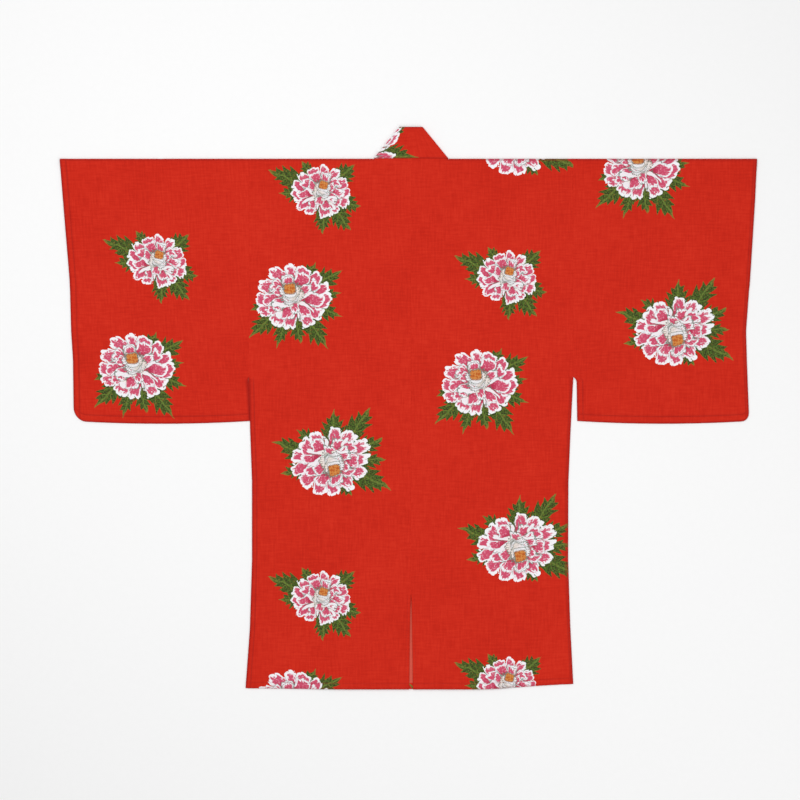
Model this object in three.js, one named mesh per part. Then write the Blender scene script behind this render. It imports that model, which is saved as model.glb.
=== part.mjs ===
// Short kimono, laid out flat on its front with the back uppermost.
// Millimetres. +X runs to the wearer's right, +Y to the collar, +Z up from the surface it lies on.
// Every piece is one cut panel or band, worked out as a grid of points on the middle of its cloth.
import * as THREE from 'three';

const { lerp, smoothstep } = THREE.MathUtils;

// Thickness of the single cloth and of the doubled collar band, and the clearance between pieces.
const clothThickness = 1.2;
const collarThickness = 2.4;
const seamGap = 0.3;

const bodyLength = 985;
const frontShorter = 2;
const neckHalfWidth = 70;
const ventHeight = 178;
const ventWidth = 8;

const sleeveDepth = 492;
const sleeveBow = 5;
const armholeDepth = 408;

const okumiSeamFromCentre = 51;
const okumiEdgePastCentre = 80;

const collarWidth = 59;
const collarFoldTopHalfWidth = 22;

// Radius of the middle of the cloth where it turns over, at the shoulders and at the collar's folds,
// how far the shoulder fold reaches in, and the steps round it in degrees.
const foldRadius = 1.5;
const foldReach = 3;
const foldAngles = [30, 60, 90, 120, 150];

// Where one layer climbs over another: distances down from the shoulder, except for the ramp beside
// the left front's free edge and the edge of the raised middle of the back, which run across.
const climb = {
  neckStart: 12,
  neckEnd: 48,
  rampReach: 47,
  rampRun: 35,
  belowCollarStart: 770,
  belowCollarEnd: 815,
};
const backRise = {
  shoulderRun: 32,
  neckRun: 45,
  middleReach: 200,
  middleRun: 45,
  belowCollarStart: 790,
  belowCollarEnd: 840,
};

// The two halves of the garment: the sign of X, the side of the body and the line of the cuff as
// distances out from the centre at distances down from the shoulder, the rounding of the sleeve's
// outer corner, how far the sleeve's free inner edge stands off the body at its top and at its foot,
// and how far the hem's corner is drawn up.
const halves = {
  left: {
    sign: -1,
    bodyEdge: [
      { down: 0, reach: 301 },
      { down: 408, reach: 301 },
      { down: 505, reach: 298.5 },
      { down: 600, reach: 295 },
      { down: 745, reach: 295 },
      { down: 875, reach: 299 },
      { down: 985, reach: 307 },
    ],
    cuffEdge: [
      { down: 0, reach: 652 },
      { down: 75, reach: 646 },
      { down: 225, reach: 633.5 },
      { down: 320, reach: 631 },
      { down: 375, reach: 627.5 },
      { down: 492, reach: 626 },
    ],
    cornerRadius: 25,
    slitTop: 2.6,
    slitFoot: 0.2,
    hemDrawnUp: 2,
  },
  right: {
    sign: 1,
    bodyEdge: [
      { down: 0, reach: 301 },
      { down: 408, reach: 301 },
      { down: 505, reach: 296 },
      { down: 600, reach: 292 },
      { down: 745, reach: 291.5 },
      { down: 875, reach: 295.5 },
      { down: 985, reach: 301 },
    ],
    cuffEdge: [
      { down: 0, reach: 642 },
      { down: 75, reach: 638.5 },
      { down: 225, reach: 629 },
      { down: 320, reach: 622 },
      { down: 375, reach: 623.5 },
      { down: 492, reach: 628 },
    ],
    cornerRadius: 15,
    slitTop: 6.5,
    slitFoot: 12,
    hemDrawnUp: 10,
  },
};

// Low swells of the back cloth, where it doesn't lie quite flat.
const swells = [
  { x: -520, y: -250, halfWidth: 70, halfLength: 170, height: 1.6 },
  { x: -395, y: -120, halfWidth: 60, halfLength: 90, height: 1.1 },
  { x: -215, y: -330, halfWidth: 60, halfLength: 200, height: 1.4 },
  { x: -235, y: -760, halfWidth: 45, halfLength: 150, height: 1.2 },
  { x: -60, y: -470, halfWidth: 55, halfLength: 190, height: 0.9 },
  { x: 80, y: -260, halfWidth: 60, halfLength: 130, height: 0.8 },
  { x: 225, y: -560, halfWidth: 50, halfLength: 190, height: 1.5 },
  { x: 95, y: -800, halfWidth: 60, halfLength: 120, height: 0.8 },
  { x: 400, y: -300, halfWidth: 60, halfLength: 130, height: 1.2 },
  { x: 540, y: -160, halfWidth: 70, halfLength: 120, height: 1.5 },
];

// Reading of a table at a distance down from the shoulder, straight between its rows.
function reading(table, down) {
  const next = table.findIndex((row) => row.down >= down);
  if (next === 0) return table[0].reach;
  if (next === -1) return table.at(-1).reach;
  const above = table[next - 1];
  const below = table[next];
  return lerp(above.reach, below.reach, (down - above.down) / (below.down - above.down));
}

// The collar's fold line on the wearer's right, and the way that the band runs once folded there.
const foldFoot = new THREE.Vector2(neckHalfWidth, 0);
const foldTop = new THREE.Vector2(collarFoldTopHalfWidth, collarWidth);
const foldAlong = foldTop.clone().sub(foldFoot).normalize();
const foldOut = new THREE.Vector2(foldAlong.y, -foldAlong.x);
const bandRun = foldAlong.clone().multiplyScalar(2 * foldAlong.x).sub(new THREE.Vector2(1, 0));
const bandSlope = bandRun.x / bandRun.y;

// Length of the band's seam edge from the fold to its end, where the okumi's edge turns straight.
const bandLength = (neckHalfWidth + okumiEdgePastCentre) / -bandRun.x;
const collarEndY = bandRun.y * bandLength;

// Distance to the outer side of the band's seam edge, and past the centre to its free edge.
const collarSeamAt = (y) => neckHalfWidth + bandSlope * y;
const freeEdgePastCentre = (y) => bandSlope * (collarWidth - y) - collarFoldTopHalfWidth;
const widestPastCentre = freeEdgePastCentre(collarEndY);

// The wearer's left front lies on the surface. The right front rises over the left one's edge, so its
// underside is lifted by the collar and the overlap panel beneath it.
function frontLift(half, x, y) {
  if (half === halves.left) return 0;
  const overCollar = collarThickness + seamGap;
  const overCloth = clothThickness + seamGap;
  const belowCollar = smoothstep(-y, climb.belowCollarStart, climb.belowCollarEnd);
  const edge = Math.min(freeEdgePastCentre(y), widestPastCentre);
  const onTop = smoothstep(edge + climb.rampReach - x, 0, climb.rampRun);
  const fromNeck = smoothstep(-y, climb.neckStart, climb.neckEnd);
  return lerp(overCollar, overCloth, belowCollar) * onTop * fromNeck;
}

// Underside of the back cloth: low over the sleeves and sides, higher over the overlapping fronts and
// the two stretches of the collar, and raised a little where it turns over the shoulder.
function backUnderside(x, y) {
  const onFront = clothThickness + seamGap;
  const overShoulder = lerp(2 * foldRadius, onFront, smoothstep(-y, 0, backRise.shoulderRun));
  const neck = collarThickness + 2 * foldRadius - (collarThickness + clothThickness) / 2;
  const overCollars = 2 * (collarThickness + seamGap) + seamGap;
  const overOkumi = 2 * (clothThickness + seamGap) + seamGap;
  const fromNeck = lerp(neck, overCollars, smoothstep(-y, 0, backRise.neckRun));
  const belowCollar = smoothstep(-y, backRise.belowCollarStart, backRise.belowCollarEnd);
  const middle = lerp(fromNeck, overOkumi, belowCollar);
  const inMiddle = smoothstep(backRise.middleReach - Math.abs(x), 0, backRise.middleRun);
  let height = lerp(overShoulder, middle, inMiddle);
  for (const swell of swells) {
    const across = (x - swell.x) / swell.halfWidth;
    const along = (y - swell.y) / swell.halfLength;
    height += swell.height * Math.exp(-across * across - along * along);
  }
  return height;
}

// Closed wall of even thickness on a grid of points, rows[i][j]. A cell that isCut names is left out,
// and every edge with a cell on one side only gets a wall between the two faces of the cloth.
function sheetGeometry(rows, thickness, isCut = () => false) {
  const columns = rows[0].length;
  const normals = rows.map((row) => row.map(() => new THREE.Vector3()));
  const cells = [];
  for (let i = 0; i < rows.length - 1; i += 1) {
    for (let j = 0; j < columns - 1; j += 1) {
      if (isCut(i, j)) continue;
      const corners = [[i, j], [i + 1, j], [i + 1, j + 1], [i, j + 1]];
      const [a, b, c, d] = corners.map(([row, column]) => rows[row][column]);
      const normal = c.clone().sub(a).cross(d.clone().sub(b)).normalize();
      corners.forEach(([row, column]) => normals[row][column].add(normal));
      cells.push(corners);
    }
  }

  const positions = [];
  const used = new Map();
  const vertex = ([row, column], face) => {
    const key = `${row},${column},${face}`;
    if (!used.has(key)) {
      const offset = normals[row][column].clone().setLength((face * thickness) / 2);
      used.set(key, positions.length / 3);
      positions.push(...rows[row][column].clone().add(offset).toArray());
    }
    return used.get(key);
  };

  const index = [];
  const openEdges = new Map();
  for (const corners of cells) {
    const [a, b, c, d] = corners.map((corner) => vertex(corner, 1));
    const [e, f, g, h] = corners.map((corner) => vertex(corner, -1));
    index.push(a, b, c, a, c, d, g, f, e, h, g, e);
    corners.forEach((from, k) => {
      const to = corners[(k + 1) % 4];
      const back = `${to}>${from}`;
      if (openEdges.has(back)) openEdges.delete(back);
      else openEdges.set(`${from}>${to}`, [from, to]);
    });
  }
  for (const [from, to] of openEdges.values()) {
    const [a, b] = [vertex(from, 1), vertex(to, 1)];
    const [e, f] = [vertex(from, -1), vertex(to, -1)];
    index.push(b, a, e, b, e, f);
  }

  const geometry = new THREE.BufferGeometry();
  geometry.setAttribute('position', new THREE.Float32BufferAttribute(positions, 3));
  geometry.setIndex(index);
  geometry.computeVertexNormals();
  return geometry;
}

// Shares from one to another in even steps, without the first.
function evenShares(from, to, steps) {
  return Array.from({ length: steps }, (_, k) => lerp(from, to, (k + 1) / steps));
}

// Courses of a panel that turns over the shoulder: up the back, round the fold and down the front.
// Each holds its layer and either how far down it lies, as a share, or its angle round the fold.
function foldedCourses(backShares, frontShares) {
  return [
    ...backShares.toReversed().map((share) => ({ layer: 'back', share })),
    ...foldAngles.map((angle) => ({ layer: 'fold', angle })),
    ...frontShares.map((share) => ({ layer: 'front', share })),
  ];
}

// Middle of the cloth at a place on one of the layers, or part of the way round the shoulder fold.
function clothPoint(half, layer, x, y, angle = 0) {
  const middle = clothThickness / 2;
  const top = backUnderside(x, y) + middle;
  const bottom = frontLift(half, x, y) + middle;
  if (layer === 'back') return new THREE.Vector3(x, y, top);
  if (layer === 'front') return new THREE.Vector3(x, y, bottom);
  const turned = THREE.MathUtils.degToRad(angle);
  const out = (foldReach - middle) * Math.sin(turned);
  return new THREE.Vector3(x, -foldReach + out, lerp(bottom, top, (1 + Math.cos(turned)) / 2));
}

// Half of the body: one length of cloth from the back hem over the shoulder to the front hem. Beside
// the neck it is cut through, so the back reaches the centre and the front the collar and the okumi.
function bodyPanel(half) {
  const sideColumns = 10;
  const neckColumns = 3;
  const neckEdge = neckHalfWidth + seamGap * 1.5;
  const belowFold = foldReach / bodyLength;
  const backShares = [belowFold, 0.011, 0.021, 0.032, 0.044, 0.057, ...evenShares(0.057, 1, 16)];
  const frontShares = [belowFold, 0.02, 0.035, 0.05, 0.0975, ...evenShares(0.0975, 1, 14)];
  const courses = foldedCourses(backShares, frontShares);

  const innerEdge = (layer, y) => {
    if (layer === 'front') {
      const seam = collarSeamAt(y) + seamGap;
      return Math.max(seam, okumiSeamFromCentre + seamGap / 2);
    }
    const intoVent = Math.max(0, (-y - (bodyLength - ventHeight)) / ventHeight);
    return seamGap / 2 + (ventWidth / 2) * Math.sqrt(intoVent);
  };

  const place = (course, column) => {
    const beside = column <= sideColumns;
    if (course.layer === 'fold' && !beside) {
      // Cut edge of the back neck, level with the fold and against the collar's seam.
      const out = lerp(neckEdge, innerEdge('back', 0), (column - sideColumns) / neckColumns);
      const x = half.sign * out;
      return new THREE.Vector3(x, -seamGap, backUnderside(x, 0) + clothThickness / 2);
    }
    const hem = course.layer === 'front' ? bodyLength - frontShorter : bodyLength;
    const level = course.layer === 'fold' ? -foldReach : -hem * course.share;
    const outer = reading(half.bodyEdge, -level);
    const out = beside
      ? lerp(outer, neckEdge, column / sideColumns)
      : lerp(neckEdge, innerEdge(course.layer, level), (column - sideColumns) / neckColumns);
    const drawnUp = half.hemDrawnUp * smoothstep(out, 110, 320) * smoothstep(-level, 700, 985);
    return clothPoint(half, course.layer, half.sign * out, level + drawnUp, course.angle);
  };

  const rows = courses.map((course) => {
    const row = [];
    for (let column = 0; column <= sideColumns + neckColumns; column += 1) {
      row.push(place(course, column));
    }
    return row;
  });

  // Beside the fold the neck is open: only the row of cells up to the neck's cut edge is there.
  const firstFold = backShares.length;
  const firstFront = firstFold + foldAngles.length;
  const isCut = (i, column) => column >= sideColumns && i >= firstFold && i < firstFront;
  return sheetGeometry(rows, clothThickness, isCut);
}

// A sleeve: one length of cloth folded at the top, with a rounded corner below the cuff. Its inner
// edge lies against the body down to the foot of the armhole and hangs free below it.
function sleevePanel(half) {
  const topWidth = half.cuffEdge[0].reach - half.bodyEdge[0].reach;
  const corner = half.cornerRadius / topWidth;
  const intoCurve = [0, 0.38, 0.7, 0.92, 1];
  const across = [0, 0.14, 0.28, 0.42, 0.56, 0.7, 0.82];
  across.push(...intoCurve.map((share) => lerp(1 - corner, 1, share)));
  const aboveSlit = [foldReach / sleeveDepth, 0.03, 0.07, ...evenShares(0.07, 0.7, 6)];
  const shares = [...aboveSlit, 0.83, 0.848, 0.92, 1];

  const rows = foldedCourses(shares, shares).map((course) => (
    across.map((share) => {
      const intoCorner = THREE.MathUtils.clamp((share - (1 - corner)) / corner, 0, 1);
      const rounded = half.cornerRadius * (1 - Math.sqrt(1 - intoCorner * intoCorner));
      const depth = sleeveDepth - rounded - sleeveBow * (2 * share - 1) ** 2;
      const down = course.layer === 'fold' ? foldReach : depth * course.share;
      const free = smoothstep(down, armholeDepth - 4, armholeDepth + 4);
      const belowArmhole = (down - armholeDepth) / (sleeveDepth - armholeDepth);
      const standOff = free * lerp(half.slitTop, half.slitFoot, belowArmhole);
      const inner = reading(half.bodyEdge, down) + seamGap + standOff;
      const x = half.sign * lerp(inner, reading(half.cuffEdge, down), share);
      return clothPoint(half, course.layer, x, -down, course.angle);
    })
  ));
  return sheetGeometry(rows, clothThickness);
}

// The okumi: a narrow overlap panel on the front, slanted along the collar from its point at the top
// and straight below the collar's end.
function okumiPanel(half) {
  const columns = 4;
  const courses = 18;
  const seam = okumiSeamFromCentre - seamGap / 2;
  const tipWidth = 1.5;
  const tip = (seam - tipWidth + seamGap - neckHalfWidth) / bandSlope;
  const hem = -(bodyLength - frontShorter);
  const rows = [];
  for (let i = 0; i <= courses; i += 1) {
    const y = lerp(tip, hem, i / courses);
    const edge = Math.max(collarSeamAt(y) + seamGap, -okumiEdgePastCentre);
    const row = [];
    for (let j = 0; j <= columns; j += 1) {
      const x = half.sign * lerp(seam, edge, j / columns);
      row.push(new THREE.Vector3(x, y, frontLift(half, x, y) + clothThickness / 2));
    }
    rows.push(row);
  }
  return sheetGeometry(rows, clothThickness);
}

// The collar: one doubled band round the back of the neck, folded over on both sides of it and sewn
// down the two fronts. Each section runs from the band's seam edge to its free edge.
function collarBand() {
  const columns = 4;
  const inset = foldRadius + collarThickness / 2;
  const level = collarThickness / 2;
  const backTrim = inset / foldOut.x;
  const frontTrim = -inset / bandRun.dot(foldOut);
  const spareFree = neckHalfWidth - collarFoldTopHalfWidth;
  const backEnd = [
    new THREE.Vector2(neckHalfWidth - backTrim, 0),
    new THREE.Vector2(collarFoldTopHalfWidth - backTrim, collarWidth),
  ];
  const frontAt = (share) => [
    foldFoot.clone().addScaledVector(bandRun, lerp(frontTrim, bandLength, share)),
    foldTop.clone().addScaledVector(bandRun, lerp(frontTrim, bandLength + spareFree, share)),
  ];

  // Points across one section, at the height that heightAt gives for each.
  const section = (half, [seam, free], heightAt) => {
    const row = [];
    for (let j = 0; j <= columns; j += 1) {
      const flat = seam.clone().lerp(free, j / columns);
      const x = half.sign * flat.x;
      row.push(new THREE.Vector3(x, flat.y, heightAt(x, flat.y)));
    }
    return row;
  };
  const frontSection = (half, share) => (
    section(half, frontAt(share), (x, y) => level + frontLift(half, x, y))
  );
  const foldSection = (half, degrees) => {
    const turned = THREE.MathUtils.degToRad(degrees);
    const edges = backEnd.map((end, k) => (
      end.clone()
        .lerp(frontAt(0)[k], degrees / 180)
        .addScaledVector(foldOut, foldRadius * Math.sin(turned))
    ));
    return section(half, edges, () => level + foldRadius * (1 + Math.cos(turned)));
  };
  const backSection = (half, share) => {
    const edges = backEnd.map((end) => new THREE.Vector2(end.x * share, end.y));
    return section(half, edges, () => level + 2 * foldRadius);
  };

  const frontShares = [0, ...evenShares(0, 0.06, 4), ...evenShares(0.06, 0.17, 4)];
  frontShares.push(...evenShares(0.17, 1, 13));
  const oneSide = (half) => [
    backSection(half, 1 / 3),
    backSection(half, 2 / 3),
    backSection(half, 1),
    ...foldAngles.map((degrees) => foldSection(half, degrees)),
    ...frontShares.map((share) => frontSection(half, share)),
  ];
  const rows = [
    ...oneSide(halves.left).toReversed(),
    backSection(halves.right, 0),
    ...oneSide(halves.right),
  ];
  return sheetGeometry(rows, collarThickness);
}

function clothMesh(name, geometry, colour) {
  const material = new THREE.MeshStandardMaterial({ color: colour, roughness: 0.85, metalness: 0 });
  const mesh = new THREE.Mesh(geometry, material);
  mesh.name = name;
  return mesh;
}

const red = 0xc72e1f;
const kimono = new THREE.Group();
for (const [side, half] of Object.entries(halves)) {
  kimono.add(clothMesh(`body_${side}`, bodyPanel(half), red));
  kimono.add(clothMesh(`sleeve_${side}`, sleevePanel(half), red));
  kimono.add(clothMesh(`okumi_${side}`, okumiPanel(half), red));
}
kimono.add(clothMesh('collar', collarBand(), red));

// The origin goes below the middle of the whole garment, on the surface that it lies on.
const box = new THREE.Box3().setFromObject(kimono);
const centre = box.getCenter(new THREE.Vector3());
kimono.position.set(-centre.x, -centre.y, -box.min.z);

export default kimono;
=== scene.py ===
import math

import bpy
import numpy as np
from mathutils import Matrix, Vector
from mathutils.bvhtree import BVHTree


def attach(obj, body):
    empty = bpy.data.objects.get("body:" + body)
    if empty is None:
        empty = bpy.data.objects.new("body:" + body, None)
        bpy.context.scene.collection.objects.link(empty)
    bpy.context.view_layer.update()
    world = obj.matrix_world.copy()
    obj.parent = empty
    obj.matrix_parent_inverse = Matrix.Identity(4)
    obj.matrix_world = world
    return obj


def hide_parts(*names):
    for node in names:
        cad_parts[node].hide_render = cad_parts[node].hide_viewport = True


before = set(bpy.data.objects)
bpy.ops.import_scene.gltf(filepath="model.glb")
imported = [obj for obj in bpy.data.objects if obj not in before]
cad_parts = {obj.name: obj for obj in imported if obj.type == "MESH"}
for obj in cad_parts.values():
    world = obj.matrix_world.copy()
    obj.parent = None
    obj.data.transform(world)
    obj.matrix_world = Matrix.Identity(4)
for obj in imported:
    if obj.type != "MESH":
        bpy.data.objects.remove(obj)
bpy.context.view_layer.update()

print("frame loaded:", len(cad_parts), "panels")

# The garment is worked out in millimetres from the centre back at the shoulder fold: x to the
# wearer's right, y up to the collar, z up from the floor. This is where that point lies.
layout = {"originX": 4.9546, "originY": 462.8311, "metre": 0.001}

# The garment's cut, as its solids have it, but for frontShorter: here the front hem comes down
# almost to the back hem, so that the vent shows it.
cut = {
    "cadCloth": 1.2, "cadCollar": 2.4, "gap": 0.3,
    "bodyLength": 985, "frontShorter": 0.5,
    "hemDrawnOver": (110, 320),  # out from the middle, where the hem runs up to the side
    "hemDrawnBelow": 700,
    "neckHalfWidth": 70,
    "ventHeight": 178, "ventWidth": 8,
    "sleeveDepth": 492, "sleeveBow": 5, "armholeDepth": 408,
    "okumiSeam": 51, "okumiPastCentre": 80, "okumiWidth": 131, "okumiTip": 1.5,
    "collarWidth": 59, "collarTopHalf": 22,
    "foldRadius": 1.5, "foldReach": 3,
    "besideSeam": 0.02, "besideCollar": 0.05, "besideSleeve": 0.14,
}

# Between which distances a layer climbs on to what lies under it, as in the solids.
climbs = {
    "shoulder": (0, 32), "neckBack": (0, 45), "neckFront": (12, 48),
    "okumi": (790, 840), "collarEnd": (770, 815), "pastFront": (12, 47), "pastMiddle": (155, 200),
}

# How the sewn cloth looks: its real thickness, its hems and how sewn edges close.
cloth = {
    "thickness": 0.55, "collarThickness": 1.7,
    "hemWidth": 11, "hemExtra": 0.4, "hemShows": 0.12, "allowanceShows": 0.8,
    "hemEnds": (-0.6, 0.9), "allowanceEnds": (-0.7, 0.7),
    "ventHem": (5.6, 6.9),  # where the turned edge of the vent ends
    "seamDip": 0.3, "seamRun": 1.1, "closeRun": 5,
    "cuffOpening": 235,
    "creaseLift": 1.5, "frontRipple": 0.3,
}

# From and to where, past the armhole, the cuff's opening or the top of the vent, these begin.
begins = {
    "free": (-4, 4), "sideSewn": (-6, 16), "sideAllowance": (-4, 17), "vent": (-3, 8),
    "slitSewn": (-4, 12), "slitHem": (0, 8), "cuffSewn": (-6, 12),
}

# Small running stitches of red thread hold the hems and seam allowances.
sewing = {
    "pitch": 4.4, "stitch": 2.9, "thread": 0.42, "stands": 0.3, "seed": 7,
    "fromFold": 9.9, "fromVent": 5, "footSeam": 13.1, "insideHem": 1.1,
    "backHem": (11, 296), "frontHem": (54, 290), "okumiHem": 46, "footEnd": 12,
}

# Painted shade along the cloth's edges, the shoulder fold, seams and hem lines: how wide each line is
# and how dark, 1 at the most.
shadeWidths = {
    "side": (3.2, 1), "allowance": (1.3, 0.7), "shoulder": (2.5, 1),
    "bodyHem": (3, 0.5), "bodyHemInside": (1.3, 0.35), "hem": (3, 1), "hemInside": (1.3, 0.7),
    "foot": (2.6, 1), "footInside": (1.4, 0.8), "collar": (2.4, 1),
}

# How far apart the rows of points are, along and across each kind of panel.
spacing = {"body": (5.2, 4.6), "neck": 4.4, "sleeve": (4.6, 4.6), "okumi": (5, 4.4), "stitches": 3.0}

# Edges are rows of distances down from the shoulder and out from the middle. The free sleeve stands
# off the body by slitTop to slitFoot, on the front only where frontSlit is 1.
halves = {
    "left": {
        "sign": -1,
        "bodyEdge": [
            (0, 301), (408, 301), (505, 298.5), (600, 295), (745, 295), (875, 299), (985, 307),
        ],
        "cuffEdge": [(0, 652), (75, 646), (225, 633.5), (320, 631), (375, 627.5), (492, 626)],
        "cornerRadius": 25, "cuffHem": 11,
        "slitTop": 2.6, "slitFoot": 0.2, "frontSlit": 0,
        "hemDrawnUp": 2, "seamAllowance": 8.5, "footStitches": 3,
    },
    "right": {
        "sign": 1,
        "bodyEdge": [
            (0, 301), (408, 301), (505, 296), (600, 292), (745, 291.5), (875, 295.5), (985, 301),
        ],
        "cuffEdge": [(0, 642), (75, 638.5), (225, 629), (320, 622), (375, 623.5), (492, 628)],
        "cornerRadius": 15, "cuffHem": 5.5,
        "slitTop": 6.5, "slitFoot": 12, "frontSlit": 1,
        "hemDrawnUp": 10, "seamAllowance": 4.5, "footStitches": 14,
    },
}

# Low swells of the back, as the solids have them: x, y, half width, half length, height.
swells = [
    (-520, -250, 70, 170, 1.6), (-395, -120, 60, 90, 1.1), (-215, -330, 60, 200, 1.4),
    (-235, -760, 45, 150, 1.2), (-60, -470, 55, 190, 0.9), (80, -260, 60, 130, 0.8),
    (225, -560, 50, 190, 1.5), (95, -800, 60, 120, 0.8), (400, -300, 60, 130, 1.2),
    (540, -160, 70, 120, 1.5),
]

# Soft creases: start, end, half width, height and how far each bows to its side.
creases = {
    "back": [
        ((-292, -395), (-120, -300), 13, 0.65, 9), ((-280, -420), (-150, -470), 11, -0.45, -6),
        ((-262, -560), (-228, -800), 12, 0.55, 8), ((-200, -140), (-130, -420), 16, 0.5, -12),
        ((-95, -90), (-60, -330), 13, -0.5, 7), ((-40, -520), (-58, -760), 15, 0.5, 6),
        ((-150, -700), (-120, -950), 12, -0.45, -7), ((55, -130), (36, -420), 13, 0.5, -8),
        ((288, -400), (150, -318), 14, 0.6, -9), ((270, -450), (205, -640), 11, -0.5, 8),
        ((120, -420), (150, -700), 15, 0.5, 10), ((60, -640), (80, -930), 12, 0.5, -6),
        ((215, -760), (235, -960), 12, 0.5, 5), ((160, -60), (240, -230), 14, -0.45, 6),
        ((-170, -30), (-60, -50), 10, 0.4, 3), ((-20, -160), (15, -300), 18, 0.4, 4),
        ((-330, -380), (-470, -250), 14, 0.6, -10), ((-345, -90), (-520, -60), 13, 0.5, 6),
        ((-590, -110), (-560, -330), 15, 0.6, -9), ((-420, -470), (-400, -330), 12, 0.5, 6),
        ((-500, -200), (-440, -420), 13, -0.45, 8), ((-620, -300), (-585, -470), 10, 0.45, 4),
        ((325, -380), (450, -265), 14, 0.6, 10), ((350, -60), (500, -95), 14, 0.5, -7),
        ((590, -130), (555, -340), 14, 0.6, 8), ((405, -480), (430, -330), 12, 0.5, -6),
        ((500, -180), (470, -400), 13, -0.45, -7), ((606, -300), (585, -460), 10, 0.45, -4),
    ],
    "fronts": [
        ((-260, -430), (-140, -360), 12, 0.3, 6), ((-210, -560), (-180, -860), 12, 0.25, -7),
        ((-120, -200), (-110, -480), 12, 0.25, 6), ((260, -430), (150, -350), 12, 0.3, -6),
        ((215, -560), (190, -880), 12, 0.25, 7), ((130, -220), (110, -500), 12, 0.25, -6),
        ((-440, -120), (-480, -400), 12, 0.25, 7), ((450, -150), (500, -390), 12, 0.25, -7),
        ((-20, -500), (10, -850), 11, 0.25, 5),
    ],
}

# Where each panel lies on the printed bolt: the garment's point (x, distance down) that has the bolt's
# place (across, along), and the drift that turns the panel a little off the straight grain.
bolt = {
    "body_left": (-165.2, 62.2, 0, 0, 0),
    "body_right": (180, 221.8, 0, 0, 0),
    "sleeve_left": (-469.6, 191.5, 0, 0, -0.065),
    "sleeve_right": (425, 15.8, -55.7, 194.9, 0.028),
    "okumi_left": (20, 400, 40, 330, 0),
    "okumi_right": (2, -979, -130, 266, 0),
    "collar": (0, 0, 24.5, 413.3, 0),
}


def ease(value, start, end):
    share = np.clip((value - start) / (end - start), 0, 1)
    return share * share * (3 - 2 * share)


def between(a, b, share):
    return a + (b - a) * share


def near(away, width):
    # 1 where away is 0, falling off within width on each side.
    return np.exp(-((away / width) ** 2))


def reading(table, down):
    return np.interp(down, [row[0] for row in table], [row[1] for row in table])


# The collar is folded back along a slanting line, from foldFoot up to foldTop.
foldFoot = np.array([cut["neckHalfWidth"], 0.0])
foldTop = np.array([cut["collarTopHalf"], cut["collarWidth"]], float)
foldAlong = (foldTop - foldFoot) / np.linalg.norm(foldTop - foldFoot)
foldOut = np.array([foldAlong[1], -foldAlong[0]])
bandRun = 2 * foldAlong[0] * foldAlong - np.array([1.0, 0.0])
bandSlope = bandRun[0] / bandRun[1]
bandLength = (cut["neckHalfWidth"] + cut["okumiPastCentre"]) / -bandRun[0]
collarEndY = bandRun[1] * bandLength


def collarSeamAt(y):
    return cut["neckHalfWidth"] + bandSlope * y


def freeEdgePastCentre(y):
    return bandSlope * (cut["collarWidth"] - y) - cut["collarTopHalf"]


def frontLift(sign, x, y):
    # The left front lies on the floor, and the right one climbs on to it past its edge.
    if sign < 0:
        return np.zeros_like(x)
    onCollar, onCloth = cut["cadCollar"] + cut["gap"], cut["cadCloth"] + cut["gap"]
    edge = np.minimum(freeEdgePastCentre(y), freeEdgePastCentre(collarEndY))
    first, last = climbs["pastFront"]
    onTop = ease(edge + last - x, 0, last - first)
    lift = between(onCollar, onCloth, ease(-y, *climbs["collarEnd"]))
    return lift * onTop * ease(-y, *climbs["neckFront"])


def backUnderside(x, y):
    onFront = cut["cadCloth"] + cut["gap"]
    overShoulder = between(2 * cut["foldRadius"], onFront, ease(-y, *climbs["shoulder"]))
    neck = cut["cadCollar"] + 2 * cut["foldRadius"] - (cut["cadCollar"] + cut["cadCloth"]) / 2
    onCollars = 2 * (cut["cadCollar"] + cut["gap"]) + cut["gap"]
    onOkumi = 2 * onFront + cut["gap"]
    fromNeck = between(neck, onCollars, ease(-y, *climbs["neckBack"]))
    middle = between(fromNeck, onOkumi, ease(-y, *climbs["okumi"]))
    first, last = climbs["pastMiddle"]
    height = between(overShoulder, middle, ease(last - np.abs(x), 0, last - first))
    for swellX, swellY, halfWidth, halfLength, tall in swells:
        swell = np.exp(-((x - swellX) / halfWidth) ** 2 - ((y - swellY) / halfLength) ** 2)
        height = height + tall * swell
    return height


def creaseHeight(x, y, laid):
    total = np.zeros_like(x)
    for (ax, ay), (bx, by), halfWidth, tall, bow in laid:
        length = math.hypot(bx - ax, by - ay)
        along = ((x - ax) * (bx - ax) + (y - ay) * (by - ay)) / length**2
        aside = ((x - ax) * (by - ay) - (y - ay) * (bx - ax)) / length
        aside = aside - bow * np.sin(math.pi * np.clip(along, 0, 1))
        fade = ease(along, -0.15, 0.3) * (1 - ease(along, 0.7, 1.15))
        total = total + cloth["creaseLift"] * tall * fade * near(aside, halfWidth)
    return total


# A faint unevenness all over the cloth, from a few waves in fixed random directions.
unevenness = {"seed": 11, "waves": 14, "shortest": 26, "longest": 95, "height": 0.045}
rippleRandom = np.random.default_rng(unevenness["seed"])
ripples = [
    {
        "turn": rippleRandom.uniform(0, math.pi),
        "length": rippleRandom.uniform(unevenness["shortest"], unevenness["longest"]),
        "phase": rippleRandom.uniform(0, 2 * math.pi),
    }
    for _ in range(unevenness["waves"])
]


def rippleHeight(x, y):
    total = np.zeros_like(x)
    for wave in ripples:
        run = x * math.cos(wave["turn"]) + y * math.sin(wave["turn"])
        height = np.sin(2 * math.pi * run / wave["length"] + wave["phase"])
        total = total + height * wave["length"] / unevenness["longest"]
    return total * unevenness["height"]


def backMiddle(x, y):
    # Middle of the solid's wall on the back, with the scene's creases and ripples.
    level = backUnderside(x, y) + cut["cadCloth"] / 2
    return level + creaseHeight(x, y, creases["back"]) + rippleHeight(x, y)


def frontRipple(x, y):
    return cloth["frontRipple"] * (rippleHeight(x, y) + 0.1)


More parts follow.
